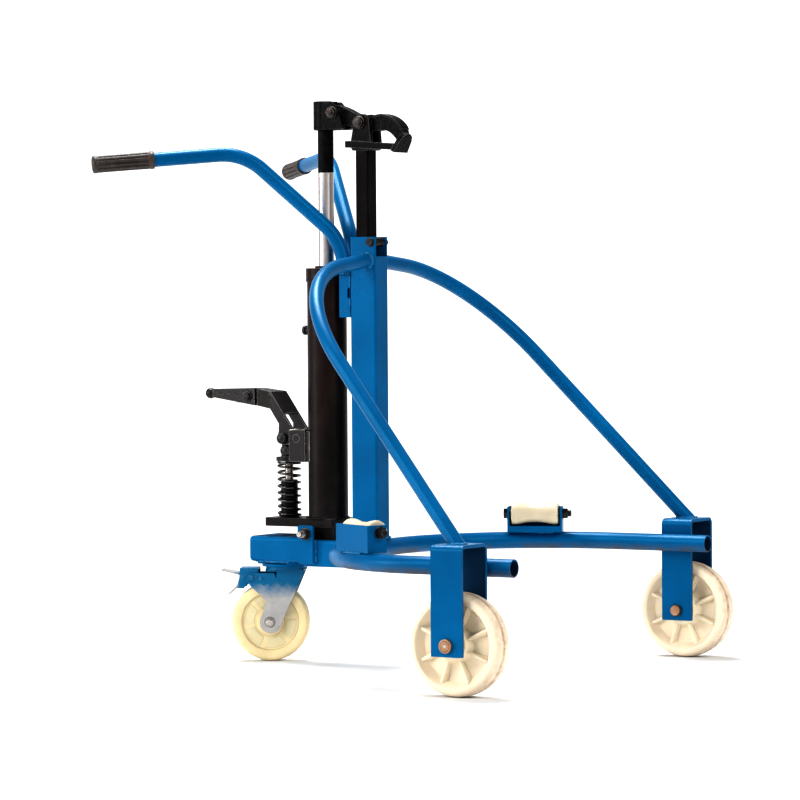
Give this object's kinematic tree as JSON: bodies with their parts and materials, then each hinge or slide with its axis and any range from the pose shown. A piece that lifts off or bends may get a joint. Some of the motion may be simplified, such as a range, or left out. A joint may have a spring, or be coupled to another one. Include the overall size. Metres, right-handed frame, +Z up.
{
  "type": "hydraulic drum truck",
  "caption": "Wheeled C-shaped tube frame with a telescoping mast, a beak jaw and a foot-pumped hydraulic ram for lifting a drum by its rim.",
  "frame": {"origin": "on the floor, under the middle of the truck's outline box", "axes": "+X towards the drum side and the fixed wheels, +Y to the truck's left, +Z up along the mast and the ram"},
  "size_m": [0.9354, 0.932, 1.0485],
  "materials": {
    "blue_paint": "semi-gloss spray paint",
    "black_paint": "satin black paint",
    "black_casting": "painted rough casting",
    "hard_chrome": "ground and polished",
    "bright_steel": "turned",
    "black_steel": "black oxide",
    "zinc": "zinc plated sheet",
    "copper_steel": "browned pin",
    "cream_nylon": "moulded nylon",
    "yellow_nylon": "moulded nylon",
    "slide_plastic": "plain",
    "grip_rubber": "ribbed"
  },
  "bodies": {
    "chassis": {"base_tube": "blue_paint", "spine_front_box": "blue_paint", "spine_rear_box": "blue_paint", "jack_lugs": "blue_paint", "mast_foot": "blue_paint", "mast_tube": "blue_paint", "handle_plates": "blue_paint", "brace_left": "blue_paint", "brace_right": "blue_paint", "handle_left": "blue_paint", "handle_right": "blue_paint", "fork_left": "blue_paint", "fork_right": "blue_paint", "roller_bracket_left": "blue_paint", "roller_bracket_right": "blue_paint", "grip_left": "grip_rubber", "grip_right": "grip_rubber", "axle_pins": "copper_steel", "axle_spacers": "bright_steel", "roller_bolts": "black_steel", "guide_bolt": "black_steel", "wear_pads": "slide_plastic", "jack_base": "black_paint", "jack_pivot_bolt": "black_steel", "jack_cylinder": "black_paint", "cylinder_cap": "black_paint", "filler_plug": "black_steel", "pump_barrel": "black_paint", "fulcrum_bracket": "black_casting", "fulcrum_pin": "black_steel", "caster_plate": "blue_paint", "pump_spring": "black_steel"},
    "sliding_mast": {"inner_mast": "black_paint", "lower_jaw": "black_casting", "jaw_clevis": "black_casting", "jaw_pivot_bolt": "black_steel"},
    "jaw": {"jaw_lever": "black_casting"},
    "ram": {"ram_rod": "hard_chrome", "ram_head": "black_casting", "head_pin": "black_steel", "piston": "bright_steel"},
    "foot_lever": {"pump_lever": "black_casting", "foot_pedal": "black_casting", "pedal_bolt": "black_steel", "upper_link_pin": "black_steel"},
    "links": {"pump_links": "black_steel"},
    "pump_plunger": {"plunger": "bright_steel", "plunger_head": "black_casting", "lower_link_pin": "black_steel"},
    "left_wheel": {"front_wheel_left": "cream_nylon"},
    "right_wheel": {"front_wheel_right": "cream_nylon"},
    "left_roller": {"drum_roller_left": "cream_nylon"},
    "right_roller": {"drum_roller_right": "cream_nylon"},
    "mast_roller": {"guide_roller": "black_steel"},
    "valve": {"release_valve": "black_steel"},
    "caster_swivel": {"caster_fork": "zinc", "caster_axle": "zinc", "brake_pin": "zinc"},
    "caster_roller": {"caster_wheel": "yellow_nylon"},
    "brake": {"brake_pedal": "zinc"}
  },
  "joints": [
    {"name": "mast_lift", "type": "slide", "parent": "chassis", "child": "sliding_mast", "axis": [0, 0, 1], "range_m": [-0.15, 0.15]},
    {"name": "jaw_pivot", "type": "hinge", "parent": "sliding_mast", "child": "jaw", "pos_m": [-0.07092, 0, 1.007], "axis": [0, -1, 0], "range_deg": [0, 30]},
    {"name": "ram_slide", "type": "slide", "parent": "sliding_mast", "child": "ram", "axis": [0, 0, 1], "range_m": [-0.0325, 0]},
    {"name": "lever_pivot", "type": "hinge", "parent": "chassis", "child": "foot_lever", "pos_m": [-0.20792, 0, 0.42], "axis": [0, -1, 0], "range_deg": [0, 25], "stiffness_Nm_per_rad": 6, "springref_deg": -22.92},
    {"name": "plunger_slide", "type": "slide", "parent": "chassis", "child": "pump_plunger", "axis": [0, 0, -1], "range_m": [0, 0.0146], "deforming": ["pump_spring"]},
    {"name": "link_pivot", "type": "hinge", "parent": "foot_lever", "child": "links", "pos_m": [-0.24192, 0, 0.4196], "axis": [0, 1, 0], "range_deg": [0, 32.5]},
    {"name": "left_wheel_spin", "type": "hinge", "parent": "chassis", "child": "left_wheel", "pos_m": [0.37808, 0.417, 0.09], "axis": [0, 1, 0], "continuous": true},
    {"name": "right_wheel_spin", "type": "hinge", "parent": "chassis", "child": "right_wheel", "pos_m": [0.37808, -0.417, 0.09], "axis": [0, 1, 0], "continuous": true},
    {"name": "left_roller_spin", "type": "hinge", "parent": "chassis", "child": "left_roller", "pos_m": [0.11332, 0.30276, 0.27], "axis": [0.9063, 0.4226, 0], "continuous": true},
    {"name": "right_roller_spin", "type": "hinge", "parent": "chassis", "child": "right_roller", "pos_m": [0.11332, -0.30276, 0.27], "axis": [0.9063, -0.4226, 0], "continuous": true},
    {"name": "mast_roller_spin", "type": "hinge", "parent": "chassis", "child": "mast_roller", "pos_m": [-0.04662, 0, 0.785], "axis": [0, 1, 0], "continuous": true},
    {"name": "valve_turn", "type": "hinge", "parent": "chassis", "child": "valve", "pos_m": [-0.22192, 0.04, 0.263], "axis": [0, 1, 0], "range_deg": [0, 180]},
    {"name": "caster_turn", "type": "hinge", "parent": "chassis", "child": "caster_swivel", "pos_m": [-0.25292, 0, 0.17], "axis": [0, 0, 1], "continuous": true},
    {"name": "caster_spin", "type": "hinge", "parent": "caster_swivel", "child": "caster_roller", "pos_m": [-0.27941, -0.01408, 0.074], "axis": [0.4695, -0.8829, 0], "continuous": true},
    {"name": "brake_pivot", "type": "hinge", "parent": "caster_swivel", "child": "brake", "pos_m": [-0.31119, -0.03099, 0.157], "axis": [0.4695, -0.8829, 0], "range_deg": [0, 12]}
  ],
  "couplings": [
    {"joint": "ram_slide", "follows": "jaw_pivot", "m_per_rad": -0.0608},
    {"joint": "plunger_slide", "follows": "lever_pivot", "m_per_rad": 0.0329},
    {"joint": "link_pivot", "follows": "lever_pivot", "ratio": 1.27}
  ]
}
